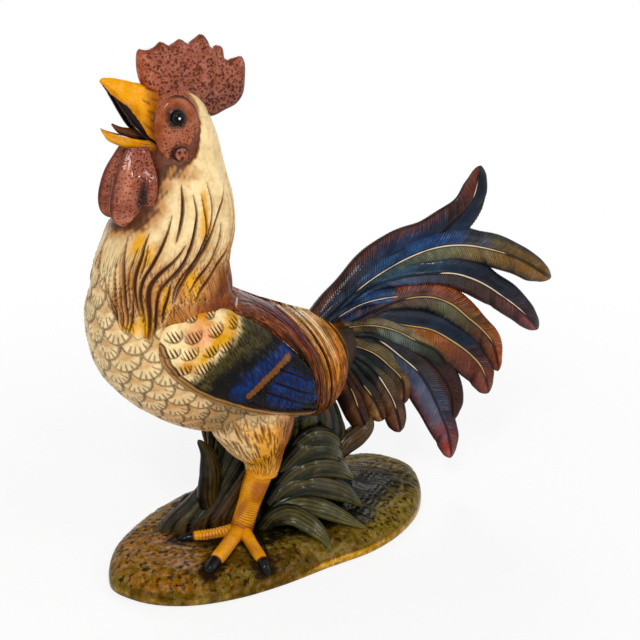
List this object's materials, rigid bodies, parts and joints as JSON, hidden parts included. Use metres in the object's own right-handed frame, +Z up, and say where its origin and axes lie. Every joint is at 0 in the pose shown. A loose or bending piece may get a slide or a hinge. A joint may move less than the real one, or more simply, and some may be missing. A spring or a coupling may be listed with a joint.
{
  "type": "ceramic rooster figurine",
  "caption": "Glazed earthenware rooster that crows with an open beak and stands on a low grassy mound, with a fan of long tail feathers.",
  "frame": {"origin": "on the flat underside of the mound, in the middle plane of the bird, below the front of its tail", "axes": "+X along the bird towards its tail, +Y towards its right side, +Z up"},
  "size_m": [0.4103, 0.1574, 0.3997],
  "materials": {
    "cream_glaze": "glossy glaze",
    "amber_glaze": "glossy glaze",
    "maroon_glaze": "glossy glaze",
    "blue_glaze": "glossy glaze",
    "rust_glaze": "glossy glaze",
    "slate_glaze": "glossy glaze",
    "leaf_glaze": "glossy glaze",
    "moss_glaze": "glossy glaze",
    "black_glaze": "glossy glaze"
  },
  "bodies": {
    "root": {"base": "moss_glaze", "beak_lower": "amber_glaze", "beak_upper": "amber_glaze", "body": "cream_glaze", "comb": "maroon_glaze", "earlobe_left": "maroon_glaze", "earlobe_right": "maroon_glaze", "eye_left": "black_glaze", "eye_right": "black_glaze", "face_left": "maroon_glaze", "face_right": "maroon_glaze", "foot_left": "amber_glaze", "foot_right": "amber_glaze", "head": "maroon_glaze", "leaf_curled": "leaf_glaze", "leaf_fifth_left": "leaf_glaze", "leaf_fourth_left": "leaf_glaze", "leaf_low_left": "leaf_glaze", "leaf_low_right": "leaf_glaze", "leaf_second_left": "leaf_glaze", "leaf_second_right": "leaf_glaze", "leaf_third_left": "leaf_glaze", "leaf_top_left": "leaf_glaze", "leaf_top_right": "leaf_glaze", "leaf_trailing": "leaf_glaze", "neck_hackle": "cream_glaze", "saddle_hackle_left": "rust_glaze", "saddle_hackle_right": "rust_glaze", "shank_left": "amber_glaze", "shank_right": "amber_glaze", "support": "leaf_glaze", "tail_covert_blue": "slate_glaze", "tail_covert_brown": "slate_glaze", "tail_covert_olive": "slate_glaze", "tail_covert_rust": "slate_glaze", "tail_covert_slate": "slate_glaze", "tail_covert_tan": "slate_glaze", "tail_feather_brown": "slate_glaze", "tail_feather_drooping": "slate_glaze", "tail_feather_inner": "slate_glaze", "tail_feather_orange": "slate_glaze", "tail_sickle_low": "slate_glaze", "tail_sickle_main": "slate_glaze", "tail_sickle_upper": "slate_glaze", "thigh_left": "cream_glaze", "thigh_right": "cream_glaze", "tongue": "maroon_glaze", "wattle_left": "maroon_glaze", "wattle_right": "maroon_glaze", "wing_left": "blue_glaze", "wing_right": "blue_glaze"}
  },
  "joints": []
}
